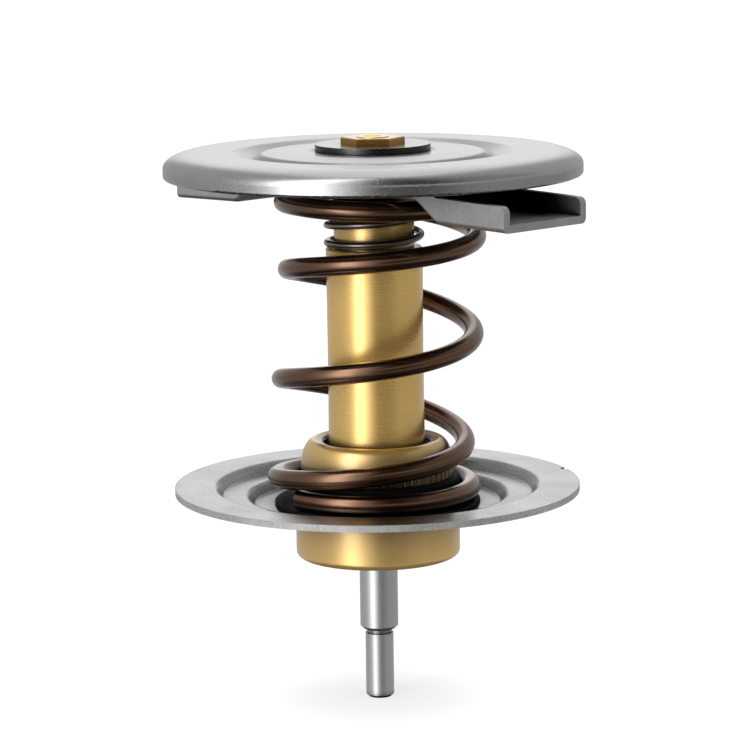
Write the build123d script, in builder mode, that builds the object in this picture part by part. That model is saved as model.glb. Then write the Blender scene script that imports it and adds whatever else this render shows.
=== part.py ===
from build123d import *
import os
from math import cos, pi, radians, sin, tan

# Wax-element engine thermostat, the insert type that twists into a housing.
# Millimetres, +Z up. The origin is the middle of the piston's tip. The Z axis carries, from
# the bottom, the piston, the brass head with the main valve plate, the wax capsule inside
# the main spring, the crossbar, the bypass spring, the bypass disc, a washer and a nut.
# X runs along the crossbar. The housing holds the piston's tip and the crossbar's ends.

# ---- clearances ----------------------------------------------------------------------------------
running_gap = 0.06        # radial, between a sliding piece and its bore
seat_gap = 0.05           # between faces that rest on each other
hidden_gap = 0.02         # radial, between pieces that are pressed or clamped together
spring_gap = 0.35         # radial, between the small spring and the eye that it passes
stop_gap = 0.30           # between pieces that stop each other

# ---- piston --------------------------------------------------------------------------------------
tip_d = 3.7
tip_length = 8.6
tip_chamfer = 0.35
groove_d = 3.2
groove_width = 0.6
shank_d = 5.0
shank_chamfer = 0.4
piston_length = 44.0

# ---- brass head ----------------------------------------------------------------------------------
head_z = 19.1             # underside of the cup
cup_r = 10.7
cup_height = 6.2
cup_round = 0.8
bore_chamfer = 0.4
skirt_r = 9.95
recess_height = 10.9      # to the floor of the recess that holds the capsule's flange
recess_r = 8.4
lip_inner_r = 6.9
lip_crest_r = 8.1
lip_thickness = 1.4
lip_edge = 1.1            # height of the lip's inner edge
lip_roll = 3.6            # height of the rounding from the skirt to the crest
backup_r = 4.0
backup_thickness = 1.0
knurl_count = 60
knurl_depth = 0.15
knurl_height = 1.2
edge_break = 0.25

# ---- rubber sleeve, capsule and wax --------------------------------------------------------------
sleeve_flange_t = 1.6
sleeve_r = 3.9
sleeve_cap = 4.0          # rubber beyond the piston's end
sleeve_round = 1.5
capsule_flange_t = 1.6
tube_end_r = 6.28
tube_waist_r = 6.2
tube_wall = 0.8
tube_length = 26.5        # from the flange to the shoulder
shoulder_thickness = 2.5
cavity_round = 1.2
neck_r = 5.2
spigot_r = 2.1
spigot_head = 0.1         # peened end that stands above the nut
spigot_round = 0.1
dish_r = 1.25
dish_depth = 0.5

# ---- main valve plate and its seal ring ----------------------------------------------------------
plate_r = 26.36
plate_t = 0.85
plate_step = 1.2          # drop at each of the two steps
plate_land_r = 21.1       # inner edge of the seat land
plate_ring_r = 17.0       # inner edge of the middle ring
step_run = 1.0            # radial length of each sloped step
plate_bend = 1.1          # radius outside each bend
plate_crease = 0.15       # radius inside each bend
bleed_width = 1.1
bleed_depth = 0.8
bleed_angle = 64.0
seal_flange_r = 13.4
seal_flange_t = 0.5
seal_collar_r = 10.75
seal_collar_height = 3.65
seal_round = 0.3

# ---- main spring ---------------------------------------------------------------------------------
main_wire_d = 2.55
main_coil_r = 12.2        # to the wire's centre
main_turns = 4.5
main_start_angle = 262.0
main_end_pitch = 0.5
main_flat_low = 0.3       # turns laid flat at the lower end
main_ramp_low = 1.35      # turns over which the pitch opens out
main_flat_high = 0.0
main_ramp_high = 1.93
main_bow = 1.05           # the free coils bow to one side and back by this much
main_bow_angle = 46.2
bow_centre = 0.435        # share of the turns below the point where the bow crosses the axis
bow_waves = 0.92
bow_start = 0.5           # turns that the seal ring's collar holds in line
main_lean = 0.75          # the free coils also dip on the bow's side, and rise opposite
lean_start = 0.9          # turns below the leaning ones
free_ramp = 0.5           # turns over which bow and lean come in

# ---- crossbar ------------------------------------------------------------------------------------
bar_half_length = 30.3
bar_width = 14.6
bar_wall = 1.0
bar_flange = 3.27         # outer height of the channel on the arms
bar_rise = 7.5            # from the capsule's shoulder to the spring's seat under the middle
bar_drop = 2.55           # how far the arms lie below the middle
bar_joggle_in = 14.9
bar_joggle_out = 18.5
bar_droop = 1.3           # degrees, the arms fall towards their ends
bar_bend = 1.5
bar_fold = 0.7            # outside radius of the folded edges
bar_corner = 0.9
eye_wall = 2.6            # metal left round the eye, flange and all
eye_blend = 4.0

# ---- bypass disc ---------------------------------------------------------------------------------
disc_r = 27.0
disc_t = 1.0
disc_rise = 4.9           # from the spring's seat to the top of the disc's land
rim_shoulder_run = 4.0    # the land rounds over into the rim along a quarter ellipse
rim_shoulder_drop = 1.85
rim_band = 1.3            # straight band below the shoulder
disc_land_r = 17.9        # inner edge of the flat seat land
valley_r = 15.5           # crease between the land's slope and the boss
valley_depth = 1.0
boss_edge_r = 14.3
boss_edge_drop = 0.15     # below the land
boss_flat_r = 10.5
boss_rise = 0.1           # above the land
rim_break = 0.35
crease_bend = 0.4
boss_bend = 1.2

# ---- bypass spring -------------------------------------------------------------------------------
small_wire_d = 0.95
small_coil_r = 6.03
small_turns = 4.6
small_start_angle = 146.0
small_end_pitch = 0.3
small_flat = 0.15
small_ramp = 0.5

# ---- washer and nut ------------------------------------------------------------------------------
washer_r = 7.45
washer_t = 0.75
washer_clearance = 0.1
nut_across_flats = 7.15
nut_t = 0.85
nut_angle = 46.0
nut_chamfer = 0.15

# ---- sizes and heights that follow ---------------------------------------------------------------
shank_r = shank_d / 2
shank_z = tip_length + groove_width
bore_r = shank_r + running_gap
recess_z = head_z + recess_height
plate_seat_z = head_z + cup_height
floor_z = plate_seat_z + plate_t
plate_top_z = floor_z + 2 * plate_step
seal_bore_r = skirt_r + seat_gap
seal_seat_z = floor_z + seal_flange_t
seal_top_z = floor_z + seal_collar_height
backup_z = recess_z - backup_thickness
sleeve_top_z = recess_z + sleeve_flange_t
sleeve_end_z = piston_length + sleeve_cap
flange_r = recess_r - hidden_gap
flange_top_z = sleeve_top_z + capsule_flange_t
shoulder_z = flange_top_z + tube_length
bar_seat_z = shoulder_z + bar_rise
disc_top_z = bar_seat_z + disc_rise
lip_top_z = flange_top_z + lip_thickness
lip_edge_z = flange_top_z + lip_edge
roll_z = lip_top_z - lip_roll
cavity_r = tube_waist_r - tube_wall
cavity_top_z = shoulder_z - shoulder_thickness
wax_r = cavity_r - hidden_gap
wax_top_z = cavity_top_z - hidden_gap
boss_z = disc_top_z + boss_rise
valley_z = disc_top_z - valley_depth
shoulder_foot_z = disc_top_z - rim_shoulder_drop
rim_z = shoulder_foot_z - rim_band
shoulder_r = disc_r - rim_shoulder_run
boss_edge_z = disc_top_z - boss_edge_drop
neck_top_z = boss_z + seat_gap
washer_top_z = neck_top_z + washer_t
nut_top_z = washer_top_z + nut_t
spigot_top_z = nut_top_z + spigot_head
disc_bore_r = neck_r + running_gap
eye_r = small_coil_r + small_wire_d / 2 + spring_gap
eye_outer_r = eye_r + eye_wall
arm_z = bar_seat_z - bar_drop
bar_end_z = arm_z - tan(radians(bar_droop)) * (bar_half_length - bar_joggle_out)
bar_middle_height = disc_rise - valley_depth - disc_t - stop_gap


def eased_area(t):
    """Area under a smooth step from 0 to 1: t**3 - t**4 / 2 on the step, t - 1/2 past it."""
    t = max(t, 0.0)
    return t**3 - t**4 / 2 if t < 1 else t - 0.5


def coil_path(low_z, high_z, turns, coil_r, start_angle, end_pitch, low_end, high_end,
              bow=0.0, bow_angle=0.0, lean=0.0):
    """Points along a right-hand coil. Each end is (turns laid flat, turns of opening pitch)."""
    points_per_turn = 12
    (low_flat, low_ramp), (high_flat, high_ramp) = low_end, high_end
    count = round(turns * points_per_turn)
    open_rise = high_z - low_z - end_pitch * turns
    open_turns = turns - low_flat - low_ramp / 2 - high_flat - high_ramp / 2
    points = []
    for i in range(count + 1):
        n = turns * i / count
        passed = (low_ramp * eased_area((n - low_flat) / low_ramp)
                  - high_ramp * eased_area((n - turns + high_flat + high_ramp) / high_ramp))
        z = low_z + end_pitch * n + open_rise * passed / open_turns
        freed = min(max((n - bow_start) / free_ramp, 0), 1)
        leaning = lean * min(max((n - lean_start) / free_ramp, 0), (turns - n) / free_ramp, 1)
        side = bow * freed * sin(2 * pi * (n / turns - bow_centre) * bow_waves)
        angle = radians(start_angle + 360 * n)
        z -= leaning * cos(angle - radians(bow_angle))
        points.append((coil_r * cos(angle) + side * cos(radians(bow_angle)),
                       coil_r * sin(angle) + side * sin(radians(bow_angle)), z))
    return points


def bar_line(height, middle_height=None):
    """The crossbar's side line, a given height above the web's underside, from -X to +X."""
    middle_z = bar_seat_z + (height if middle_height is None else middle_height)
    right = [(bar_joggle_in, middle_z), (bar_joggle_out, arm_z + height),
             (bar_half_length, bar_end_z + height)]
    return [(-x, z) for x, z in reversed(right)] + right


def corner(x, y):
    """The corner of the open sketch nearest to (x, y)."""
    return vertices().sort_by_distance((x, y))[0]


def soften(points, radius):
    """Round the open sketch's corners at these points."""
    for x, y in points:
        fillet(corner(x, y), radius)


# ---- piston --------------------------------------------------------------------------------------
with BuildPart() as piston:
    with BuildSketch(Plane.XZ):
        with BuildLine():
            Polyline((0, 0), (tip_d / 2, 0), (tip_d / 2, tip_length),
                     (groove_d / 2, tip_length), (groove_d / 2, shank_z),
                     (shank_r, shank_z), (shank_r, piston_length), (0, piston_length), close=True)
        make_face()
        chamfer(corner(tip_d / 2, 0), tip_chamfer)
        chamfer(corner(shank_r, shank_z), shank_chamfer)
        chamfer(corner(shank_r, piston_length), shank_chamfer)
    revolve(axis=Axis.Z)

# ---- brass head: cup, skirt and the lip rolled over the capsule, in one turning ------------------
with BuildPart() as guide_head:
    with BuildSketch(Plane.XZ):
        with BuildLine():
            Polyline((lip_crest_r, lip_top_z), (lip_inner_r, lip_edge_z), (lip_inner_r, flange_top_z),
                     (recess_r, flange_top_z), (recess_r, recess_z), (backup_r, recess_z),
                     (backup_r, backup_z), (bore_r, backup_z), (bore_r, head_z), (cup_r, head_z),
                     (cup_r, plate_seat_z), (skirt_r, plate_seat_z), (skirt_r, roll_z))
            EllipticalCenterArc((lip_crest_r, roll_z), skirt_r - lip_crest_r, lip_roll,
                                start_angle=0, arc_size=90)
        make_face()
        fillet(corner(cup_r, head_z), cup_round)
        chamfer(corner(cup_r, plate_seat_z), edge_break)
        chamfer(corner(bore_r, head_z), bore_chamfer)
        fillet(corner(lip_inner_r, lip_edge_z), lip_edge / 2)
    revolve(axis=Axis.Z)
    with BuildSketch(Plane.XY.offset(seal_top_z)):
        with PolarLocations(skirt_r + knurl_depth, knurl_count):
            RegularPolygon(radius=2 * knurl_depth, side_count=4)
    extrude(amount=knurl_height, mode=Mode.SUBTRACT)

# ---- ring that backs the rubber round the piston -------------------------------------------------
with BuildPart() as backup_ring:
    with BuildSketch(Plane.XY.offset(backup_z)):
        Circle(backup_r - hidden_gap)
        Circle(bore_r, mode=Mode.SUBTRACT)
    extrude(amount=backup_thickness)

# ---- rubber sleeve: the wax squeezes it, and that drives the piston out --------------------------
with BuildPart() as rubber_sleeve:
    with BuildSketch(Plane.XZ):
        with BuildLine():
            Polyline((bore_r, recess_z), (flange_r, recess_z), (flange_r, sleeve_top_z),
                     (sleeve_r, sleeve_top_z), (sleeve_r, sleeve_end_z), (0, sleeve_end_z),
                     (0, piston_length + stop_gap), (bore_r, piston_length + stop_gap), close=True)
        make_face()
        fillet(corner(sleeve_r, sleeve_end_z), sleeve_round)
    revolve(axis=Axis.Z)

# ---- wax charge between the sleeve and the capsule -----------------------------------------------
with BuildPart() as wax_charge:
    with BuildSketch(Plane.XZ):
        with BuildLine():
            Polyline((sleeve_r, sleeve_top_z), (wax_r, sleeve_top_z), (wax_r, wax_top_z),
                     (0, wax_top_z), (0, sleeve_end_z), (sleeve_r, sleeve_end_z), close=True)
        make_face()
        fillet(corner(wax_r, wax_top_z), cavity_round)
        fillet(corner(sleeve_r, sleeve_end_z), sleeve_round)
    revolve(axis=Axis.Z)

# ---- capsule: flanged tube with a slight waist, solid neck, peened spigot ------------------------
with BuildPart() as capsule:
    with BuildSketch(Plane.XZ):
        with BuildLine():
            Polyline((tube_end_r, shoulder_z), (neck_r, shoulder_z), (neck_r, neck_top_z),
                     (spigot_r, neck_top_z), (spigot_r, spigot_top_z), (dish_r, spigot_top_z),
                     (0, spigot_top_z - dish_depth), (0, cavity_top_z), (cavity_r, cavity_top_z),
                     (cavity_r, sleeve_top_z), (flange_r, sleeve_top_z), (flange_r, flange_top_z),
                     (tube_end_r, flange_top_z))
            ThreePointArc((tube_end_r, flange_top_z), (tube_waist_r, (flange_top_z + shoulder_z) / 2),
                          (tube_end_r, shoulder_z))
        make_face()
        fillet(corner(cavity_r, cavity_top_z), cavity_round)
        fillet(corner(spigot_r, spigot_top_z), spigot_round)
        chamfer(corner(tube_end_r, shoulder_z), edge_break)
        chamfer(corner(neck_r, neck_top_z), edge_break)
    revolve(axis=Axis.Z)

# ---- main valve plate: stepped pressing with a bleed notch in its rim ----------------------------
with BuildPart() as valve_plate:
    steps = [(skirt_r + hidden_gap, floor_z), (plate_ring_r - step_run, floor_z),
             (plate_ring_r, floor_z + plate_step), (plate_land_r - step_run, floor_z + plate_step),
             (plate_land_r, plate_top_z), (plate_r, plate_top_z)]
    under = [(r, z - plate_t) for r, z in steps]
    with BuildSketch(Plane.XZ):
        with BuildLine():
            Polyline(*steps, *reversed(under), close=True)
        make_face()
        soften([steps[1], under[2], steps[3], under[4]], plate_crease)
        soften([under[1], steps[2], under[3], steps[4]], plate_bend)
    revolve(axis=Axis.Z)
    with BuildSketch(Plane.XY.offset(plate_top_z - 2 * plate_t)):
        with PolarLocations(plate_r, 1, start_angle=bleed_angle):
            SlotCenterToCenter(2 * bleed_depth - bleed_width, bleed_width)
    extrude(amount=3 * plate_t, mode=Mode.SUBTRACT)

# ---- rubber ring that seals the plate to the head, with a flange under the spring ----------------
with BuildPart() as seal_ring:
    with BuildSketch(Plane.XZ):
        with BuildLine():
            Polyline((seal_bore_r, floor_z), (seal_flange_r, floor_z), (seal_flange_r, seal_seat_z),
                     (seal_collar_r, seal_seat_z), (seal_collar_r, seal_top_z), (seal_bore_r, seal_top_z),
                     close=True)
        make_face()
        fillet(corner(seal_collar_r, seal_top_z), seal_round)
        fillet(corner(seal_flange_r, seal_seat_z), seal_round)
    revolve(axis=Axis.Z)

# ---- main spring: round wire, end turns laid flat ------------------------------------------------
with BuildPart() as main_spring:
    with BuildLine() as main_coil:
        wire_inset = seat_gap + main_wire_d / 2
        Spline(*coil_path(seal_seat_z + wire_inset, bar_seat_z - wire_inset, main_turns, main_coil_r,
                          main_start_angle, main_end_pitch, (main_flat_low, main_ramp_low),
                          (main_flat_high, main_ramp_high), main_bow, main_bow_angle, main_lean))
    with BuildSketch(Plane(origin=main_coil.line @ 0, z_dir=main_coil.line % 0)):
        Circle(main_wire_d / 2)
    sweep(path=main_coil.line)

# ---- crossbar: pressed channel with a raised eye in its middle -----------------------------------
with BuildSketch() as bar_plan:
    Rectangle(2 * bar_half_length, bar_width)
    Circle(eye_outer_r)
    fillet([v for v in vertices() if abs(v.X) < eye_outer_r], eye_blend)

with BuildSketch() as channel_plan:
    add(bar_plan.sketch)
    offset(amount=-bar_wall)
    Rectangle(2 * bar_half_length, bar_width - 2 * bar_wall)

with BuildPart() as channel_space:
    extrude(channel_plan.sketch, amount=disc_top_z)
    web_top = bar_line(bar_wall)
    with BuildSketch(Plane.XZ):
        with BuildLine():
            Polyline(*web_top, (bar_half_length, disc_top_z), (-bar_half_length, disc_top_z), close=True)
        make_face()
        soften(web_top[1:5], bar_bend)
    extrude(amount=eye_outer_r, both=True, mode=Mode.INTERSECT)

with BuildPart() as crossbar:
    extrude(bar_plan.sketch, amount=disc_top_z)
    web_under = bar_line(0)
    flange_top = bar_line(bar_flange, bar_middle_height)
    with BuildSketch(Plane.XZ):
        with BuildLine():
            Polyline(*web_under, *reversed(flange_top), close=True)
        make_face()
        soften(web_under[1:5] + flange_top[1:5], bar_bend)
        soften([flange_top[0], flange_top[-1]], bar_corner)
    extrude(amount=eye_outer_r, both=True, mode=Mode.INTERSECT)
    under_faces = [f for f in faces() if f.normal_at().Z < -0.5]
    fillet([e for f in under_faces for e in f.edges() if abs((e @ 0.5).Y) > 0.49 * bar_width], bar_fold)
    add(channel_space.part, mode=Mode.SUBTRACT)
    with BuildSketch():
        Circle(eye_r)
    extrude(amount=disc_top_z, mode=Mode.SUBTRACT)

# ---- bypass disc: pressed disc with a curled rim, a valley and a raised boss ---------------------
with BuildPart() as bypass_disc:
    top = [(disc_bore_r, boss_z), (boss_flat_r, boss_z), (boss_edge_r, boss_edge_z), (valley_r, valley_z),
           (disc_land_r, disc_top_z), (shoulder_r, disc_top_z)]
    bottom = [(r, z - disc_t) for r, z in top]
    with BuildSketch(Plane.XZ):
        with BuildLine():
            Polyline((disc_r, shoulder_foot_z), (disc_r, rim_z), (disc_r - disc_t, rim_z),
                     (disc_r - disc_t, shoulder_foot_z))
            EllipticalCenterArc((shoulder_r, shoulder_foot_z), rim_shoulder_run - disc_t,
                                rim_shoulder_drop - disc_t, start_angle=0, arc_size=90)
            Polyline(*reversed(bottom), *top)
            EllipticalCenterArc((shoulder_r, shoulder_foot_z), rim_shoulder_run, rim_shoulder_drop,
                                start_angle=0, arc_size=90)
        make_face()
        soften([top[3], bottom[3]], crease_bend)
        soften([top[1], top[2], top[4], bottom[1], bottom[2], bottom[4]], boss_bend)
        fillet(corner(disc_r, rim_z), rim_break)
    revolve(axis=Axis.Z)

# ---- bypass spring, between the capsule's shoulder and the bypass disc ---------------------------
with BuildPart() as bypass_spring:
    with BuildLine() as small_coil:
        wire_inset = seat_gap + small_wire_d / 2
        Spline(*coil_path(shoulder_z + wire_inset, boss_z - disc_t - wire_inset, small_turns,
                          small_coil_r, small_start_angle, small_end_pitch,
                          (small_flat, small_ramp), (small_flat, small_ramp)))
    with BuildSketch(Plane(origin=small_coil.line @ 0, z_dir=small_coil.line % 0)):
        Circle(small_wire_d / 2)
    sweep(path=small_coil.line)

# ---- washer over the bypass disc, on the neck's end ----------------------------------------------
with BuildPart() as neck_washer:
    with BuildSketch(Plane.XY.offset(neck_top_z)):
        Circle(washer_r)
        Circle(spigot_r + washer_clearance, mode=Mode.SUBTRACT)
    extrude(amount=washer_t)

# ---- brass hexagon nut, locked by the spigot's peened end ----------------------------------------
with BuildPart() as hex_nut:
    with BuildSketch(Plane.XY.offset(washer_top_z)):
        RegularPolygon(radius=nut_across_flats / 2, side_count=6, major_radius=False, rotation=nut_angle)
        Circle(spigot_r + hidden_gap, mode=Mode.SUBTRACT)
    extrude(amount=nut_t)
    chamfer(faces().sort_by(Axis.Z)[-1].outer_wire().edges(), nut_chamfer)

pieces = {
    "piston": piston, "guide_head": guide_head, "backup_ring": backup_ring,
    "rubber_sleeve": rubber_sleeve, "wax_charge": wax_charge, "capsule": capsule,
    "valve_plate": valve_plate, "seal_ring": seal_ring, "main_spring": main_spring,
    "crossbar": crossbar, "bypass_disc": bypass_disc, "bypass_spring": bypass_spring,
    "neck_washer": neck_washer, "hex_nut": hex_nut,
}
os.makedirs("parts", exist_ok=True)
for name, piece in pieces.items():
    piece.part.label = name
    export_step(piece.part, f"parts/{name}.step")
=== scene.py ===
from math import cos, pi, radians, sin

import bpy
from mathutils import Euler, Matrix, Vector


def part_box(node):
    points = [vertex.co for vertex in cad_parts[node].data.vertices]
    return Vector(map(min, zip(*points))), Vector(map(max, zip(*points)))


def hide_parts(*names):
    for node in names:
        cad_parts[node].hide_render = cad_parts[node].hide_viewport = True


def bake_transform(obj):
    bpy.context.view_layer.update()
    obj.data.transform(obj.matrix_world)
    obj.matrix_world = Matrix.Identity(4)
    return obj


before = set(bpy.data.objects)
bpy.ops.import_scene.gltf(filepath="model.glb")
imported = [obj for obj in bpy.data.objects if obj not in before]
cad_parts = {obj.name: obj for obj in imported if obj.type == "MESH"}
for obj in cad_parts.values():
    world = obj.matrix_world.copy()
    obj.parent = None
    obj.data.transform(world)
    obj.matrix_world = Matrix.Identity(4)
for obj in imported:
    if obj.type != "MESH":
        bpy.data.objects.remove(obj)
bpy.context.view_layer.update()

bl_info = {
    "name": "Engine thermostat insert",
    "version": (1, 0, 0),
    "blender": (4, 5, 0),
    "location": "View3D > Sidebar > Thermostat",
    "description": "Dresses a wax-element engine thermostat in its metals and rubber, and sets it in a studio",
    "category": "Object",
}

MAIN_LOW, MAIN_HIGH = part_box("main_spring")
SMALL_LOW, SMALL_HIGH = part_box("bypass_spring")


def linear(hex_colour):
    """An sRGB hex colour as the linear red, green and blue that Blender works in."""
    parts = [int(hex_colour.lstrip("#")[i : i + 2], 16) / 255 for i in (0, 2, 4)]
    return tuple(c / 12.92 if c <= 0.04045 else ((c + 0.055) / 1.055) ** 2.4 for c in parts)


WHITE = (*linear("#FFFFFF"), 1)


def length(name, millimetres, about):
    """A size in metres that shows as a length."""
    return bpy.props.FloatProperty(name=name, description=about, default=millimetres / 1000, unit="LENGTH", precision=5)


def number(name, value, about):
    """A plain number."""
    return bpy.props.FloatProperty(name=name, description=about, default=value, precision=3)


def part_of(name, value, about):
    """A share of 0 to 1."""
    return bpy.props.FloatProperty(name=name, description=about, default=value, subtype="FACTOR", min=0, max=1)


def angle(name, turned, about):
    """An angle given in degrees."""
    return bpy.props.FloatProperty(
        name=name, description=about, default=radians(turned), unit="ROTATION", subtype="ANGLE"
    )


def colour(name, hex_colour, about):
    """A colour given as sRGB hex."""
    return bpy.props.FloatVectorProperty(
        name=name, description=about, default=linear(hex_colour), subtype="COLOR", size=3, min=0, max=1
    )


class MainSpringSizes(bpy.types.PropertyGroup):
    """Sizes of the main spring, which stands a little bowed and aslant"""

    wire_diameter: length("Wire", 2.55, "Diameter of the wire")
    coil_radius: length("Coil radius", 12.2, "Radius of the coils, to the middle of the wire")
    turns: number("Turns", 4.5, "Turns from end to end")
    start_angle: angle("Start", 262, "Where the lower end of the wire lies round the axis")
    end_pitch: length("End pitch", 0.5, "Rise of a closed turn")
    flat_low: number("Flat turns below", 0.3, "Turns laid flat at the lower end")
    ramp_low: number("Opening turns below", 1.35, "Turns over which the pitch opens out")
    flat_high: number("Flat turns above", 0.0, "Turns laid flat at the upper end")
    ramp_high: number("Opening turns above", 1.93, "Turns over which the pitch closes again")
    bow: length("Bow", 1.05, "How far the free coils stray from the axis")
    bow_angle: angle("Bow direction", 46.2, "Direction round the axis in which they stray")
    bow_centre: part_of("Bow centre", 0.435, "Share of the turns below the crossing of the axis")
    bow_waves: number("Bow waves", 0.92, "Waves of the bow along the spring")
    bow_start: number("Bow start", 0.5, "Turns held in line by the seal ring's collar")
    lean: length("Lean", 0.75, "How far the free coils dip on the bow's side, and rise opposite")
    lean_start: number("Lean start", 0.9, "Turns below the leaning ones")
    free_ramp: number("Freeing turns", 0.5, "Turns over which bow and lean come in")
    cut_turn: number("Cut", 1.55, "Turns below the place where the two lengths of the spring meet")


class BypassSpringSizes(bpy.types.PropertyGroup):
    """Sizes of the small spring round the neck"""

    wire_diameter: length("Wire", 0.95, "Diameter of the wire")
    coil_radius: length("Coil radius", 6.03, "Radius of the coils, to the middle of the wire")
    turns: number("Turns", 4.6, "Turns from end to end")
    start_angle: angle("Start", 146, "Where the lower end of the wire lies round the axis")
    end_pitch: length("End pitch", 0.3, "Rise of a closed turn")
    flat: number("Flat turns", 0.15, "Turns laid flat at each end")
    ramp: number("Opening turns", 0.5, "Turns over which the pitch opens out")


class FinishColours(bpy.types.PropertyGroup):
    """Colours of the metals, the rubber and the inner pieces"""

    turned_brass: colour("Turned brass", "#E9C072", "The guide head")
    drawn_brass: colour("Drawn brass", "#ECC26C", "The wax capsule")
    nut_brass: colour("Nut brass", "#D4A048", "The nut")
    disc_steel: colour("Disc steel", "#B8B8B8", "The bypass disc")
    plate_steel: colour("Plate steel", "#A8A8A7", "The main valve plate")
    bar_steel: colour("Crossbar steel", "#BEBEBE", "The crossbar")
    ground_steel: colour("Ground steel", "#D0D0D1", "The piston")
    washer_steel: colour("Washer steel", "#868584", "The washer")
    bronzed_wire: colour("Bronzed wire", "#6E4D34", "The main spring")
    dark_wire: colour("Dark wire", "#7C706A", "The bypass spring")
    black_rubber: colour("Black rubber", "#060606", "The seal ring and the sleeve")
    wax: colour("Copper-filled wax", "#B98565", "The charge in the capsule")
    polymer: colour("White polymer", "#E6E6E0", "The ring under the sleeve's flange")


class StudioSizes(bpy.types.PropertyGroup):
    """The camera's place and the strengths of the studio's lights"""

    camera_azimuth: angle("Camera azimuth", 46.2, "Direction of the camera round the object")
    camera_distance: length("Camera distance", 421, "Level distance from the camera to the object's axis")
    camera_height: length("Camera height", 114.42, "Height of the camera above the floor")
    camera_side: length("Camera side", -0.12, "Small step of the camera to its right")
    camera_pitch: angle("Camera pitch", 9.65, "How far the camera looks down")
    camera_roll: angle("Camera roll", 0.8, "How far the camera is turned about its line of sight")
    lens: bpy.props.FloatProperty(
        name="Lens", description="Focal length on a sensor 36 mm wide", default=157.92, unit="CAMERA"
    )
    ambient: number("Ambient", 0.85, "Strength of the even light on matt surfaces")
    floor_glow: part_of("Floor glow", 0.8, "Share of the white under the object that shadow can't darken")
    floor_light: number("Floor light", 0.92, "Strength of the floor's own glow under the object")
    floor_far: number("Floor farther off", 1.08, "Strength of the floor's own glow away from the object")
    shadow_from: length("Shadow core", 2, "Distance from the axis at which the floor's shadow starts to fade")
    shadow_to: length("Shadow edge", 22, "Distance from the axis at which the floor is all white")
    paper: colour("Paper", "#F9F9F9", "The studio paper that takes the object's shadow")
    strip_strength: number("Soft box", 3.8, "Strength of the tall soft box that gloss surfaces show")
    side_light: number("Side light", 0.48, "Strength of the grey round the object that gloss surfaces show")
    backdrop: number("Backdrop", 1.12, "Strength of the white behind the object that gloss surfaces show")
    underneath: number("Underneath", 0.04, "Strength of the dark that gloss surfaces show from below")


# What a gloss surface shows at each direction round the object, in degrees from the camera to its right:
# shares of the soft box's strength.
ROUND_LIGHT = (
    (-180, 0.13), (-125, 0.11), (-95, 0.12), (-75, 0.15), (-62, 0.24), (-54, 0.4), (-49, 0.85), (-45, 1.0), (-31, 1.0),
    (-26, 0.5), (-20, 0.36), (-13, 0.25), (-6, 0.1), (0, 0.025), (8, 0.01), (25, 0.01), (38, 0.03), (50, 0.065),
    (62, 0.085), (125, 0.085), (140, 0.11), (180, 0.13),
)

# Where the parts of that studio begin and where they are full, along a direction of length 1 with X toward the
# camera, Y to its right and Z up.
BEHIND = (-0.1, -0.5)
ABOVE_TABLE = (-0.04, 0.06)
BACKDROP_SIDE = (0.24, 0.1)
BACKDROP_TOP = (0.98, 0.88)
BELT_FOOT = (0.1, 0.2)
BELT_TOP = (0.5, 0.4)
TABLE = (-0.13, -0.27)
UNDER = (-0.35, -0.7)
# How far the pole of the ring of light leans back from the zenith, and how much of the table shows.
POLE_LEAN = 0.3
TABLE_SHARE = 0.7

# The lamps for matt surfaces: name, degrees from the camera to its right, then in metres the height, the distance,
# the width and the tallness, and the power in watts.
LAMPS = (
    ("Left strip box", -46, 0.26, 0.5, 0.16, 0.42, 1.6),
    ("Right fill box", 75, 0.32, 0.7, 0.4, 0.4, 1.2),
    ("Overhead box", 180, 0.7, 0.15, 0.6, 0.6, 4.0),
)

# ---- nodes -------------------------------------------------------------------------------------------


def add_node(tree, kind, inputs=None, to=None, **settings):
    """Add a node. inputs gives sockets by name or index a value or a link from another socket, and to is the
    socket that the node's first output feeds."""
    made = tree.nodes.new(kind)
    for key, value in settings.items():
        setattr(made, key, value)
    for key, value in (inputs or {}).items():
        if isinstance(value, bpy.types.NodeSocket):
            tree.links.new(value, made.inputs[key])
        else:
            made.inputs[key].default_value = value
    if to is not None:
        tree.links.new(made.outputs[0], to)
    return made


# Kinds of node with their settings, for formulas.
ADD = ("ShaderNodeMath", {"operation": "ADD"})
SUBTRACT = ("ShaderNodeMath", {"operation": "SUBTRACT"})
MULTIPLY = ("ShaderNodeMath", {"operation": "MULTIPLY"})
MULTIPLY_ADD = ("ShaderNodeMath", {"operation": "MULTIPLY_ADD"})
DIVIDE = ("ShaderNodeMath", {"operation": "DIVIDE"})
POWER = ("ShaderNodeMath", {"operation": "POWER"})
MINIMUM = ("ShaderNodeMath", {"operation": "MINIMUM"})
MAXIMUM = ("ShaderNodeMath", {"operation": "MAXIMUM"})
ABSOLUTE = ("ShaderNodeMath", {"operation": "ABSOLUTE"})
SINE = ("ShaderNodeMath", {"operation": "SINE"})
COSINE = ("ShaderNodeMath", {"operation": "COSINE"})
ARCTAN2 = ("ShaderNodeMath", {"operation": "ARCTAN2"})
RANGE = ("ShaderNodeMapRange", {})
SMOOTH_RANGE = ("ShaderNodeMapRange", {"interpolation_type": "SMOOTHSTEP"})


def work_out(tree, known, formulas):
    """Add the nodes of named formulas, in order, and put their results with the known values. A formula is a kind of
    node and what goes into its sockets: numbers, names of known values, or further formulas."""

    def result(formula):
        if not isinstance(formula, tuple):
            return known.get(formula, formula)
        (kind, settings), *terms = formula
        return add_node(tree, kind, dict(enumerate(map(result, terms))), **settings).outputs[0]

    for name, formula in formulas:
        known[name] = result(formula)


def cells_per_metre(millimetres):
    """Noise scale at which one cell has this real size."""
    return 1000 / millimetres


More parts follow.
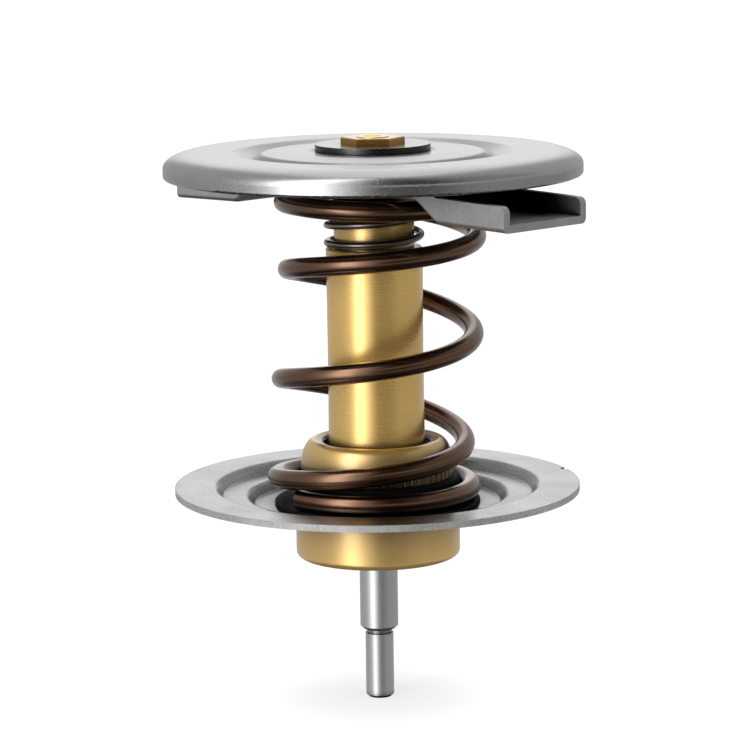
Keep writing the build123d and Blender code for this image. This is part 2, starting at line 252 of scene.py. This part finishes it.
def new_finish(name, rgb, metallic, roughness):
    """A material with one Principled shader. Returns the material, its tree and the shader."""
    finish = bpy.data.materials.new(name)
    finish.use_nodes = True
    tree = finish.node_tree
    tree.nodes.clear()
    shader = add_node(
        tree,
        "ShaderNodeBsdfPrincipled",
        {"Base Color": (*rgb, 1), "Metallic": metallic, "Roughness": roughness},
    )
    add_node(tree, "ShaderNodeOutputMaterial", {"Surface": shader.outputs["BSDF"]})
    return finish, tree, shader


def axis_radius(tree, place):
    """Distance from the Z axis."""
    flat = add_node(tree, "ShaderNodeVectorMath", {0: place, 1: (1, 1, 0)}, operation="MULTIPLY")
    return add_node(tree, "ShaderNodeVectorMath", {0: flat.outputs[0]}, operation="LENGTH").outputs["Value"]


def vary_colour(tree, shader, rgb, value, spread):
    """The colour, darker and lighter by this share as the value goes from 0 to 1."""
    factor = add_node(tree, "ShaderNodeMapRange", {"Value": value, "To Min": 1 - spread, "To Max": 1 + spread})
    tinted = {0: rgb, "Scale": factor.outputs["Result"]}
    add_node(tree, "ShaderNodeVectorMath", tinted, shader.inputs["Base Color"], operation="SCALE")


def paint_gap_shade(tree, shader, reach_mm, black=0.3, clear=0.62):
    """Painted shade: the colour goes black in gaps narrower than this reach, where no light gets in: fully black where
    this share of the sky is open, unchanged above the second share."""
    gap = add_node(tree, "ShaderNodeAmbientOcclusion", {"Distance": reach_mm / 1000}, samples=6)
    opened = add_node(tree, "ShaderNodeMapRange", {"Value": gap.outputs["AO"], "From Min": black, "From Max": clear})
    shaded = {0: shader.inputs["Base Color"].links[0].from_socket, "Scale": opened.outputs["Result"]}
    add_node(tree, "ShaderNodeVectorMath", shaded, shader.inputs["Base Color"], operation="SCALE")


def oil_film(shader, weight, roughness, ior):
    """A film of oil, which shows white where the light is strong."""
    shader.inputs["Coat Weight"].default_value = weight
    shader.inputs["Coat Roughness"].default_value = roughness
    shader.inputs["Coat IOR"].default_value = ior


def pressed_steel(name, rgb, roughness, mottle=0.12, sheared_from_mm=None):
    """Cold-rolled stainless sheet, pressed and tumbled: a satin with a fine speckle and wider clouds. The speckle
    is drawn coarser than tumbling leaves it, which would be too fine to see. A sheared rim, given by its radius, is
    duller than the faces and shows less of the studio."""
    speckle_mm, cloud_mm, relief_mm = 0.35, 6, 0.006
    rim_duller, rim_metallic = 0.25, 0.7
    finish, tree, shader = new_finish(name, rgb, 1.0, roughness)
    place = add_node(tree, "ShaderNodeTexCoord").outputs["Object"]
    speckle = add_node(
        tree, "ShaderNodeTexNoise", {"Vector": place, "Scale": cells_per_metre(speckle_mm), "Detail": 3}
    ).outputs[0]
    cloud = add_node(
        tree, "ShaderNodeTexNoise", {"Vector": place, "Scale": cells_per_metre(cloud_mm), "Detail": 2}
    ).outputs[0]
    both = add_node(tree, "ShaderNodeMath", {0: speckle, 1: cloud}, operation="ADD").outputs[0]
    half = add_node(tree, "ShaderNodeMath", {0: both, 1: 0.5}, operation="MULTIPLY").outputs[0]
    vary_colour(tree, shader, rgb, half, mottle)
    # Painted shade: the colour goes black in the wide hollows, such as the channel under the disc, then darker in the
    # fine creases of the pressing.
    paint_gap_shade(tree, shader, reach_mm=14)
    paint_gap_shade(tree, shader, reach_mm=1, black=0.55, clear=0.92)
    dulled = {"Value": speckle, "To Min": roughness - 0.06, "To Max": roughness + 0.06}
    satin = add_node(tree, "ShaderNodeMapRange", dulled, shader.inputs["Roughness"]).outputs["Result"]
    if sheared_from_mm:
        beyond = {0: axis_radius(tree, place), 1: sheared_from_mm / 1000}
        rim = add_node(tree, "ShaderNodeMath", beyond, operation="GREATER_THAN").outputs[0]
        duller = {0: rim, 1: rim_duller, 2: satin}
        add_node(tree, "ShaderNodeMath", duller, shader.inputs["Roughness"], operation="MULTIPLY_ADD")
        torn = {"Value": rim, "To Min": 1.0, "To Max": rim_metallic}
        add_node(tree, "ShaderNodeMapRange", torn, shader.inputs["Metallic"])
    relief = {"Height": speckle, "Distance": relief_mm / 1000, "Strength": 0.5}
    add_node(tree, "ShaderNodeBump", relief, shader.inputs["Normal"])
    return finish


def turned_metal(name, rgb, roughness, line_mm, depth_mm, film, metallic=1.0, **gaps):
    """Metal turned or drawn round the axis: fine rings, so that a light draws out into a long clean streak.
    The rings are drawn coarser than real tool marks, which would be too fine to see. gaps says how far and how much
    painted shade darkens the gaps."""
    cloud_mm = 7
    finish, tree, shader = new_finish(name, rgb, metallic, roughness)
    place = add_node(tree, "ShaderNodeTexCoord").outputs["Object"]
    height = add_node(tree, "ShaderNodeSeparateXYZ", {0: place}).outputs["Z"]
    across = add_node(tree, "ShaderNodeCombineXYZ", {"X": axis_radius(tree, place), "Z": height}).outputs[0]
    rings = add_node(
        tree, "ShaderNodeTexNoise", {"Vector": across, "Scale": cells_per_metre(line_mm), "Detail": 2}
    ).outputs[0]
    cloud = add_node(
        tree, "ShaderNodeTexNoise", {"Vector": place, "Scale": cells_per_metre(cloud_mm), "Detail": 2}
    ).outputs[0]
    vary_colour(tree, shader, rgb, cloud, 0.07)
    dulled = {"Value": rings, "To Min": roughness - 0.02, "To Max": roughness + 0.02}
    add_node(tree, "ShaderNodeMapRange", dulled, shader.inputs["Roughness"])
    # Stronger than a real film's IOR of about 1.5, so that the streak turns as pale as it should.
    oil_film(shader, weight=film, roughness=0.22, ior=1.8)
    # Painted shade in the gaps and where other parts close over the surface.
    paint_gap_shade(tree, shader, **gaps)
    relief = {"Height": rings, "Distance": depth_mm / 1000, "Strength": 0.12}
    add_node(tree, "ShaderNodeBump", relief, shader.inputs["Normal"])
    return finish


def spring_wire(name, rgb, roughness):
    """Hardened spring wire with a thin oxide skin and a film of oil: dark, a little glossy, uneven in tone."""
    skin_mm = 1.8
    finish, tree, shader = new_finish(name, rgb, 1.0, roughness)
    place = add_node(tree, "ShaderNodeTexCoord").outputs["Object"]
    skin = add_node(
        tree, "ShaderNodeTexNoise", {"Vector": place, "Scale": cells_per_metre(skin_mm), "Detail": 4}
    ).outputs[0]
    vary_colour(tree, shader, rgb, skin, 0.15)
    dulled = {"Value": skin, "To Min": roughness - 0.03, "To Max": roughness + 0.05}
    add_node(tree, "ShaderNodeMapRange", dulled, shader.inputs["Roughness"])
    oil_film(shader, weight=0.75, roughness=0.16, ior=1.5)
    # Painted shade where the coils run close to other parts.
    paint_gap_shade(tree, shader, reach_mm=3)
    return finish


def moulded_rubber(name, rgb):
    """Moulded nitrile rubber: matt black with a fine grain that catches specks of light. The grain is drawn coarser
    and deeper than a mould leaves it, which would be too fine to see."""
    grain_mm, relief_mm = 0.3, 0.06
    finish, tree, shader = new_finish(name, rgb, 0.0, 0.55)
    place = add_node(tree, "ShaderNodeTexCoord").outputs["Object"]
    grain = add_node(
        tree, "ShaderNodeTexNoise", {"Vector": place, "Scale": cells_per_metre(grain_mm), "Detail": 3}
    ).outputs[0]
    dulled = {"Value": grain, "To Min": 0.35, "To Max": 0.9}
    add_node(tree, "ShaderNodeMapRange", dulled, shader.inputs["Roughness"])
    shader.inputs["Specular IOR Level"].default_value = 0.12
    relief = {"Height": grain, "Distance": relief_mm / 1000, "Strength": 0.8}
    add_node(tree, "ShaderNodeBump", relief, shader.inputs["Normal"])
    return finish


def plain_matt(name, rgb, roughness):
    """An even, dull surface, such as a cast wax or a moulded polymer that is hidden inside."""
    return new_finish(name, rgb, 0.0, roughness)[0]


def give(node, finish):
    """The CAD node shows this finish."""
    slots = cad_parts[node].data.materials
    slots.clear()
    slots.append(finish)


# ---- coils -------------------------------------------------------------------------------------------

# The coil tree's inputs and their values when nothing is given: metres, turns and radians.
COIL_INPUTS = {
    "Wire Diameter": 0.002,
    "Coil Radius": 0.01,
    "Low Height": 0.0,
    "High Height": 0.04,
    "Turns": 5.0,
    "From Turn": 0.0,
    "To Turn": 5.0,
    "Start Angle": 0.0,
    "End Pitch": 0.001,
    "Flat Low": 0.5,
    "Ramp Low": 0.5,
    "Flat High": 0.5,
    "Ramp High": 0.5,
    "Bow": 0.0,
    "Bow Angle": 0.0,
    "Bow Centre": 0.5,
    "Bow Waves": 1.0,
    "Bow Start": 0.5,
    "Lean": 0.0,
    "Lean Start": 0.5,
    "Free Ramp": 0.5,
}

# Sides of the wire's round section, and the angle from which an edge of it stays sharp.
WIRE_SIDES = 32
SHARP_FROM = radians(50)


def pitch_ramp(name, start, ramp):
    """Formulas for the turns of full pitch gained by turn n, on a ramp that opens smoothly from start."""
    return (
        ("share", (DIVIDE, (SUBTRACT, "n", start), ramp)),
        ("step", (MINIMUM, (MAXIMUM, "share", 0.0), 1.0)),
        ("eased", (SUBTRACT, (POWER, "step", 3.0), (MULTIPLY, (POWER, "step", 4.0), 0.5))),
        (name, (MULTIPLY, ramp, (ADD, "eased", (MAXIMUM, (SUBTRACT, "share", 1.0), 0.0)))),
    )


def freed(turns_passed):
    """Formula that goes from 0 to 1 over the freeing turns."""
    return (MINIMUM, (MAXIMUM, (DIVIDE, turns_passed, "Free Ramp"), 0.0), 1.0)


# The middle of the wire, worked out from the tree's inputs. n counts the turns from the lower end.
COIL_FORMULAS = (
    ("n", (ADD, "From Turn", (MULTIPLY, "Factor", (SUBTRACT, "To Turn", "From Turn")))),
    ("turned", (ADD, "Start Angle", (MULTIPLY, "n", 2 * pi))),
    # The height: a closed coil's even rise, and the rest of the height shared out over the open turns.
    *pitch_ramp("gained low", "Flat Low", "Ramp Low"),
    ("high start", (SUBTRACT, (SUBTRACT, "Turns", "Flat High"), "Ramp High")),
    *pitch_ramp("lost high", "high start", "Ramp High"),
    ("passed", (SUBTRACT, "gained low", "lost high")),
    ("ramps", (MULTIPLY, (ADD, "Ramp Low", "Ramp High"), 0.5)),
    ("open turns", (SUBTRACT, (SUBTRACT, (SUBTRACT, "Turns", "Flat Low"), "Flat High"), "ramps")),
    ("open rise", (SUBTRACT, (SUBTRACT, "High Height", "Low Height"), (MULTIPLY, "End Pitch", "Turns"))),
    ("closed z", (ADD, "Low Height", (MULTIPLY, "End Pitch", "n"))),
    ("level z", (ADD, "closed z", (DIVIDE, (MULTIPLY, "open rise", "passed"), "open turns"))),
    # The lean dips the free coils on the bow's side.
    ("lean share", (MINIMUM, freed((SUBTRACT, "n", "Lean Start")), freed((SUBTRACT, "Turns", "n")))),
    ("leaning", (MULTIPLY, "Lean", "lean share")),
    ("z", (SUBTRACT, "level z", (MULTIPLY, "leaning", (COSINE, (SUBTRACT, "turned", "Bow Angle"))))),
    # The bow takes them off the axis.
    ("wave", (MULTIPLY, (SUBTRACT, (DIVIDE, "n", "Turns"), "Bow Centre"), "Bow Waves")),
    ("loose", freed((SUBTRACT, "n", "Bow Start"))),
    ("bow", (MULTIPLY, (MULTIPLY, "Bow", "loose"), (SINE, (MULTIPLY, "wave", 2 * pi)))),
    ("x", (ADD, (MULTIPLY, "Coil Radius", (COSINE, "turned")), (MULTIPLY, "bow", (COSINE, "Bow Angle")))),
    ("y", (ADD, (MULTIPLY, "Coil Radius", (SINE, "turned")), (MULTIPLY, "bow", (SINE, "Bow Angle")))),
    ("wire radius", (MULTIPLY, "Wire Diameter", 0.5)),
)


def coil_tree():
    """Node tree for a compression spring: a wire swept along a coil whose pitch opens out of flat end turns."""
    tree = bpy.data.node_groups.new("Compression spring", "GeometryNodeTree")
    for name, value in COIL_INPUTS.items():
        tree.interface.new_socket(name, in_out="INPUT", socket_type="NodeSocketFloat").default_value = value
    tree.interface.new_socket("Points", in_out="INPUT", socket_type="NodeSocketInt").default_value = 200
    tree.interface.new_socket("Wire", in_out="INPUT", socket_type="NodeSocketMaterial")
    tree.interface.new_socket("Geometry", in_out="OUTPUT", socket_type="NodeSocketGeometry")
    given = add_node(tree, "NodeGroupInput").outputs
    known = {name: given[name] for name in COIL_INPUTS}
    known["Factor"] = add_node(tree, "GeometryNodeSplineParameter").outputs["Factor"]
    work_out(tree, known, COIL_FORMULAS)
    place = add_node(tree, "ShaderNodeCombineXYZ", {axis.upper(): known[axis] for axis in "xyz"}).outputs[0]

    line = add_node(tree, "GeometryNodeCurvePrimitiveLine", {"Start": (0, 0, 0), "End": (1, 0, 0)})
    fine = add_node(tree, "GeometryNodeResampleCurve", {"Curve": line.outputs[0], "Count": given["Points"]})
    coil = add_node(tree, "GeometryNodeSetPosition", {"Geometry": fine.outputs[0], "Position": place})
    upright = add_node(tree, "GeometryNodeSetCurveNormal", {"Curve": coil.outputs[0]}, mode="Z_UP")
    section = {"Radius": known["wire radius"], "Resolution": WIRE_SIDES}
    round_wire = add_node(tree, "GeometryNodeCurvePrimitiveCircle", section)
    swept = add_node(
        tree,
        "GeometryNodeCurveToMesh",
        {"Curve": upright.outputs[0], "Profile Curve": round_wire.outputs[0], "Fill Caps": True},
    )
    plain = add_node(tree, "GeometryNodeRealizeInstances", {"Geometry": swept.outputs[0]})
    dressed = add_node(tree, "GeometryNodeSetMaterial", {"Geometry": plain.outputs[0], "Material": given["Wire"]})
    add_node(tree, "NodeGroupOutput", {"Geometry": dressed.outputs[0]})
    return tree


def make_coil(name, values, points, wire):
    """A spring as a plain mesh, made by the coil tree from these named values."""
    tree = bpy.data.node_groups.get("Compression spring") or coil_tree()
    carrier = bpy.data.objects.new(name + " maker", bpy.data.meshes.new(name + " maker"))
    bpy.context.scene.collection.objects.link(carrier)
    modifier = carrier.modifiers.new("Coil", "NODES")
    modifier.node_group = tree
    given = {**values, "Points": points, "Wire": wire}
    for item in tree.interface.items_tree:
        if item.item_type == "SOCKET" and item.in_out == "INPUT" and item.name in given:
            modifier[item.identifier] = given[item.name]
    bpy.context.view_layer.update()
    evaluated = carrier.evaluated_get(bpy.context.evaluated_depsgraph_get())
    mesh = bpy.data.meshes.new_from_object(evaluated)
    carrier.modifiers.remove(modifier)
    bpy.data.objects.remove(carrier)
    if not mesh.polygons:
        raise RuntimeError(f"{name} came out empty")
    mesh.name = name
    # Round all along, with a sharp edge only round the cut ends.
    mesh.shade_smooth()
    mesh.set_sharp_from_angle(angle=SHARP_FROM)
    made = bpy.data.objects.new(name, mesh)
    bpy.context.scene.collection.objects.link(made)
    return made


# ---- operators -----------------------------------------------------------------------------------------


class BRASS_OT_dress(bpy.types.Operator):
    """Give the head, the capsule and the nut their brass"""

    bl_idname = "thermostat.dress_brass"
    bl_label = "Dress the brass pieces"

    def execute(self, context):
        colours = context.scene.thermostat_colours
        # Below a bare metal's 1, so that the gold holds on the sides that face the dark of the room.
        bare_brass = 0.8
        # Free-cutting brass, turned with a fine feed and left bare: pale gold with rings that barely show, and painted
        # shade in its hollows and under the spring.
        head = turned_metal(
            "Turned brass", colours.turned_brass, 0.28, line_mm=0.12, depth_mm=0.0009, film=0.7,
            metallic=bare_brass, reach_mm=6, black=0.4, clear=0.92,
        )
        # Drawn brass tube, polished after the draw: the same gold, smoother, with one clean streak of light, and strong
        # painted shade where the springs close round it.
        tube = turned_metal(
            "Drawn brass", colours.drawn_brass, 0.27, line_mm=0.2, depth_mm=0.0003, film=0.7,
            metallic=bare_brass, reach_mm=6, black=0.25, clear=0.75,
        )
        # A nut cut from brass bar: a deeper gold, and glossier than the head, with painted shade on its sides next to
        # the washer.
        nut = turned_metal(
            "Nut brass", colours.nut_brass, 0.15, line_mm=0.2, depth_mm=0.002, film=0.2,
            reach_mm=3, black=0.2, clear=0.7,
        )
        give("guide_head", head)
        give("capsule", tube)
        give("hex_nut", nut)
        return {"FINISHED"}


class STEEL_OT_dress(bpy.types.Operator):
    """Give the disc, the plate, the crossbar, the piston and the washer their steel"""

    bl_idname = "thermostat.dress_steel"
    bl_label = "Dress the steel pieces"

    def execute(self, context):
        colours = context.scene.thermostat_colours
        # Thin stainless sheet, drawn and tumbled bright: soft bands of light round its curled rim.
        disc = pressed_steel("Disc steel", colours.disc_steel, 0.25)
        # The same sheet pressed in steps, with clouds of tone, and torn where its rim was blanked.
        plate = pressed_steel("Plate steel", colours.plate_steel, 0.22, mottle=0.8, sheared_from_mm=26.25)
        # Thicker sheet, bent and left as rolled: a duller grey.
        bar = pressed_steel("Crossbar steel", colours.bar_steel, 0.36, mottle=0.5)
        # Centreless-ground steel pin: fine rings and a soft sheen, with painted shade in its groove.
        pin = turned_metal(
            "Ground steel", colours.ground_steel, 0.34, line_mm=0.12, depth_mm=0.0015, film=0.4,
            reach_mm=1.2, black=0.5, clear=0.9,
        )
        # Blanked steel washer, almost polished: its rim mirrors the dark of the room, and painted shade darkens it
        # further next to the disc and the nut.
        washer = turned_metal(
            "Washer steel", colours.washer_steel, 0.18, line_mm=0.25, depth_mm=0.002, film=0.2,
            reach_mm=3, black=0.5, clear=0.98,
        )
        give("bypass_disc", disc)
        give("valve_plate", plate)
        give("crossbar", bar)
        give("piston", pin)
        give("neck_washer", washer)
        return {"FINISHED"}


class INNER_OT_dress(bpy.types.Operator):
    """Give the rubber, the wax and the backing ring their finishes"""

    bl_idname = "thermostat.dress_soft"
    bl_label = "Dress the rubber and the wax"

    def execute(self, context):
        colours = context.scene.thermostat_colours
        rubber = moulded_rubber("Moulded rubber", colours.black_rubber)
        give("seal_ring", rubber)
        give("rubber_sleeve", rubber)
        # Paraffin cast with copper powder: dull and reddish.
        give("wax_charge", plain_matt("Copper-filled wax", colours.wax, 0.6))
        # Moulded fluoropolymer: an even, waxy white.
        give("backup_ring", plain_matt("White polymer", colours.polymer, 0.5))
        return {"FINISHED"}


class SPRING_OT_main(bpy.types.Operator):
    """Wind the main spring in two lengths that meet at the cut"""

    bl_idname = "thermostat.main_spring"
    bl_label = "Wind the main spring"

    def execute(self, context):
        s = context.scene.thermostat_main_spring
        wire = spring_wire("Bronzed wire", context.scene.thermostat_colours.bronzed_wire, 0.23)
        low, high = MAIN_LOW.z + s.wire_diameter / 2, MAIN_HIGH.z - s.wire_diameter / 2
        values = {
            "Wire Diameter": s.wire_diameter,
            "Coil Radius": s.coil_radius,
            "Low Height": low,
            "High Height": high,
            "Turns": s.turns,
            "Start Angle": s.start_angle,
            "End Pitch": s.end_pitch,
            "Flat Low": s.flat_low,
            "Ramp Low": s.ramp_low,
            "Flat High": s.flat_high,
            "Ramp High": s.ramp_high,
            "Bow": s.bow,
            "Bow Angle": s.bow_angle,
            "Bow Centre": s.bow_centre,
            "Bow Waves": s.bow_waves,
            "Bow Start": s.bow_start,
            "Lean": s.lean,
            "Lean Start": s.lean_start,
            "Free Ramp": s.free_ramp,
        }
        # The joints take up the height in shares of ten to three, so the cut lies three parts of thirteen up.
        below, above = {"From Turn": 0.0, "To Turn": s.cut_turn}, {"From Turn": s.cut_turn, "To Turn": s.turns}
        lower = make_coil("main_spring_lower", {**values, **below}, points=180, wire=wire)
        upper = make_coil("main_spring_upper", {**values, **above}, points=320, wire=wire)
        for piece in (lower, upper):
            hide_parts("main_spring")
        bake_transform(lower)
        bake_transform(upper)
        return {"FINISHED"}


class SPRING_OT_bypass(bpy.types.Operator):
    """Wind the small spring between the capsule's shoulder and the bypass disc"""

    bl_idname = "thermostat.bypass_spring"
    bl_label = "Wind the bypass spring"

    def execute(self, context):
        s = context.scene.thermostat_bypass_spring
        wire = spring_wire("Dark wire", context.scene.thermostat_colours.dark_wire, 0.25)
        low, high = SMALL_LOW.z + s.wire_diameter / 2, SMALL_HIGH.z - s.wire_diameter / 2
        coil = make_coil(
            "bypass_spring_coil",
            {
                "Wire Diameter": s.wire_diameter,
                "Coil Radius": s.coil_radius,
                "Low Height": low,
                "High Height": high,
                "Turns": s.turns,
                "From Turn": 0.0,
                "To Turn": s.turns,
                "Start Angle": s.start_angle,
                "End Pitch": s.end_pitch,
                "Flat Low": s.flat,
                "Ramp Low": s.ramp,
                "Flat High": s.flat,
                "Ramp High": s.ramp,
            },
            points=420,
            wire=wire,
        )
        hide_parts("bypass_spring")
        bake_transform(coil)
        return {"FINISHED"}


class STAGE_OT_set(bpy.types.Operator):
    """Light the world, lay the floor, hang the lamps and place the camera"""

    bl_idname = "thermostat.stage"
    bl_label = "Set the studio"

    def execute(self, context):
        s = context.scene.thermostat_studio
        scene = context.scene
        scene.view_settings.view_transform = "Standard"
        self.light_world(scene, s)
        self.lay_floor(s)
        self.hang_lamps(s)
        self.place_camera(scene, s)
        return {"FINISHED"}

    def light_world(self, scene, s):
        """White to the camera and even light for matt surfaces. For gloss, a studio: a tall soft box to the left of
        the camera, the dark of the room round the camera, and behind the object a grey wall with a narrow white
        backdrop."""
        world = bpy.data.worlds.new("White studio")
        world.use_nodes = True
        tree = world.node_tree
        tree.nodes.clear()
        # Turned so that X points to the camera and Y to its right.
        outward = add_node(tree, "ShaderNodeTexCoord").outputs["Generated"]
        turn = {"Vector": outward, "Rotation": (0, 0, pi / 2 - s.camera_azimuth)}
        toward = add_node(tree, "ShaderNodeMapping", turn, vector_type="POINT").outputs[0]
        way = add_node(tree, "ShaderNodeSeparateXYZ", {0: toward}).outputs
        ray = add_node(tree, "ShaderNodeLightPath").outputs
        known = {name: way[name] for name in "XYZ"}
        known |= {name: ray[name] for name in ("Is Camera Ray", "Is Glossy Ray", "Is Transmission Ray")}
        # The soft box and the dark beside it reach over the top: their pole lies behind the zenith.
        around = (ARCTAN2, "Y", (MULTIPLY_ADD, "Z", POLE_LEAN, "X"))
        work_out(tree, known, [("round share", (RANGE, around, -pi, pi))])
        ramp = add_node(tree, "ShaderNodeValToRGB", {0: known["round share"]})
        points = ramp.color_ramp.elements
        points.remove(points[-1])
        for i, (turned, light) in enumerate(ROUND_LIGHT):
            point = points[0] if i == 0 else points.new((turned + 180) / 360)
            point.color = (light, light, light, 1)
        known["round light"] = ramp.outputs[0]
        # Each range goes from its first light to its second with its share of 0 to 1.
        work_out(
            tree,
            known,
            (
                ("ring", (MULTIPLY, "round light", s.strip_strength)),
                # Behind the object, a grey wall with a narrow white backdrop.
                ("beside", (SMOOTH_RANGE, (ABSOLUTE, "Y"), *BACKDROP_SIDE)),
                ("narrow", (MULTIPLY, "beside", (SMOOTH_RANGE, "Z", *BACKDROP_TOP))),
                ("wall", (RANGE, "narrow", 0, 1, s.side_light, s.backdrop)),
                ("behind", (MULTIPLY, (SMOOTH_RANGE, "X", *BEHIND), (SMOOTH_RANGE, "Z", *ABOVE_TABLE))),
                ("walled", (RANGE, "behind", 0, 1, "ring", "wall")),
                # A pale belt over the horizon in front, so that level faces don't turn black from the other sides.
                ("belt", (MULTIPLY, (SMOOTH_RANGE, "Z", *BELT_FOOT), (SMOOTH_RANGE, "Z", *BELT_TOP))),
                ("belted", (MAXIMUM, "walled", (MULTIPLY, "belt", s.side_light))),
                # The table, and the dark under the object.
                ("table", (MULTIPLY, (SMOOTH_RANGE, "Z", *TABLE), TABLE_SHARE)),
                ("tabled", (RANGE, "table", 0, 1, "belted", s.side_light)),
                ("gloss", (RANGE, (SMOOTH_RANGE, "Z", *UNDER), 0, 1, "tabled", s.underneath)),
                # What each kind of ray meets.
                ("glossy", (MAXIMUM, "Is Glossy Ray", "Is Transmission Ray")),
                ("bounced", (RANGE, "glossy", 0, 1, s.ambient, "gloss")),
                ("strength", (RANGE, "Is Camera Ray", 0, 1, "bounced", 1)),
            ),
        )
        white = add_node(tree, "ShaderNodeBackground", {"Color": WHITE, "Strength": known["strength"]})
        add_node(tree, "ShaderNodeOutputWorld", {"Surface": white.outputs[0]})
        # Only bounced rays meet the world, because a ray aimed straight at it doesn't count as a gloss ray.
        world.cycles.sampling_method = "NONE"
        scene.world = world

    def lay_floor(self, s):
        """A white floor whose own glow hides all but the object's soft shadow. From below it is clear, and gloss
        surfaces don't show it, because the world's studio has its own table."""
        mesh = bpy.data.meshes.new("Floor")
        half = 4.0
        mesh.from_pydata([(-half, -half, 0), (half, -half, 0), (half, half, 0), (-half, half, 0)], [], [(0, 1, 2, 3)])
        floor = bpy.data.objects.new("Floor", mesh)
        bpy.context.scene.collection.objects.link(floor)
        paper = bpy.data.materials.new("White studio paper")
        paper.use_nodes = True
        tree = paper.node_tree
        tree.nodes.clear()
        matt = add_node(tree, "ShaderNodeBsdfDiffuse", {"Color": (*s.paper, 1)}).outputs[0]
        # Under the object part of the white is real paper that takes its shadow; farther off it is all glow.
        ray = add_node(tree, "ShaderNodeLightPath").outputs
        known = {name: ray[name] for name in ("Is Camera Ray", "Is Transmission Ray")}
        known["radius"] = axis_radius(tree, add_node(tree, "ShaderNodeTexCoord").outputs["Object"])
        work_out(
            tree,
            known,
            (
                ("far", (SMOOTH_RANGE, "radius", s.shadow_from, s.shadow_to)),
                ("light", (RANGE, "far", 0, 1, s.floor_light, s.floor_far)),
                ("glow", (RANGE, "far", 0, 1, s.floor_glow, 1)),
                ("seen", (MAXIMUM, "Is Camera Ray", "Is Transmission Ray")),
                ("share", (RANGE, "seen", 0, 1, 0, "glow")),
            ),
        )
        glow = add_node(tree, "ShaderNodeEmission", {"Color": WHITE, "Strength": known["light"]}).outputs[0]
        white = add_node(tree, "ShaderNodeMixShader", {0: known["share"], 1: matt, 2: glow}).outputs[0]
        clear = add_node(tree, "ShaderNodeBsdfTransparent").outputs[0]
        under = add_node(tree, "ShaderNodeNewGeometry").outputs["Backfacing"]
        both = add_node(tree, "ShaderNodeMixShader", {0: under, 1: white, 2: clear}).outputs[0]
        add_node(tree, "ShaderNodeOutputMaterial", {"Surface": both})
        mesh.materials.append(paper)
        floor.visible_glossy = False

    def hang_lamps(self, s):
        """Two tall soft boxes and one overhead, which neither the camera nor gloss surfaces see."""
        middle = Vector((0, 0, 0.04))
        for name, turned, height, distance, width, tall, power in LAMPS:
            lamp = bpy.data.lights.new(name, "AREA")
            lamp.shape = "RECTANGLE"
            lamp.size, lamp.size_y, lamp.energy = width, tall, power
            holder = bpy.data.objects.new(name, lamp)
            bpy.context.scene.collection.objects.link(holder)
            way = s.camera_azimuth - pi / 2 + radians(turned)
            holder.location = (distance * cos(way), distance * sin(way), height)
            holder.rotation_euler = (middle - holder.location).to_track_quat("-Z", "Y").to_euler()
            holder.visible_camera = False
            holder.visible_glossy = False

    def place_camera(self, scene, s):
        """The camera, a little above the object and looking down at it."""
        camera = bpy.data.cameras.new("Camera")
        camera.lens, camera.sensor_width = s.lens, 36
        camera.clip_start, camera.clip_end = 0.01, 20
        holder = bpy.data.objects.new("Camera", camera)
        scene.collection.objects.link(holder)
        right = Vector((cos(s.camera_azimuth), sin(s.camera_azimuth), 0))
        back = Vector((sin(s.camera_azimuth), -cos(s.camera_azimuth), 0))
        holder.location = back * s.camera_distance + right * s.camera_side + Vector((0, 0, s.camera_height))
        looking = Euler((pi / 2 - s.camera_pitch, 0, s.camera_azimuth)).to_matrix()
        rolled = Euler((0, 0, -s.camera_roll)).to_matrix()
        holder.rotation_euler = (looking @ rolled).to_euler()
        scene.camera = holder


class THERMOSTAT_PT_panel(bpy.types.Panel):
    """Sizes, colours and steps of the thermostat"""

    bl_idname = "THERMOSTAT_PT_panel"
    bl_label = "Thermostat"
    bl_space_type = "VIEW_3D"
    bl_region_type = "UI"
    bl_category = "Thermostat"

    def draw(self, context):
        for name, group, steps in SECTIONS:
            box = self.layout.box()
            for step in steps:
                box.operator(step.bl_idname)
            for size in group.__annotations__:
                box.prop(getattr(context.scene, name), size)


# The panel's boxes: the name of the scene's property, its group and the operators that read it.
SECTIONS = (
    ("thermostat_colours", FinishColours, (BRASS_OT_dress, STEEL_OT_dress, INNER_OT_dress)),
    ("thermostat_main_spring", MainSpringSizes, (SPRING_OT_main,)),
    ("thermostat_bypass_spring", BypassSpringSizes, (SPRING_OT_bypass,)),
    ("thermostat_studio", StudioSizes, (STAGE_OT_set,)),
)
GROUPS = {name: group for name, group, _ in SECTIONS}
CLASSES = (*GROUPS.values(), *(step for _, _, steps in SECTIONS for step in steps), THERMOSTAT_PT_panel)


def register():
    for item in CLASSES:
        bpy.utils.register_class(item)
    for name, group in GROUPS.items():
        setattr(bpy.types.Scene, name, bpy.props.PointerProperty(type=group))


def unregister():
    for name in GROUPS:
        delattr(bpy.types.Scene, name)
    for item in reversed(CLASSES):
        bpy.utils.unregister_class(item)


def main():
    """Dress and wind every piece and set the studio."""
    register()
    bpy.ops.thermostat.dress_brass()
    bpy.ops.thermostat.dress_steel()
    bpy.ops.thermostat.dress_soft()
    bpy.ops.thermostat.main_spring()
    bpy.ops.thermostat.bypass_spring()
    bpy.ops.thermostat.stage()


if __name__ == "__main__":
    main()
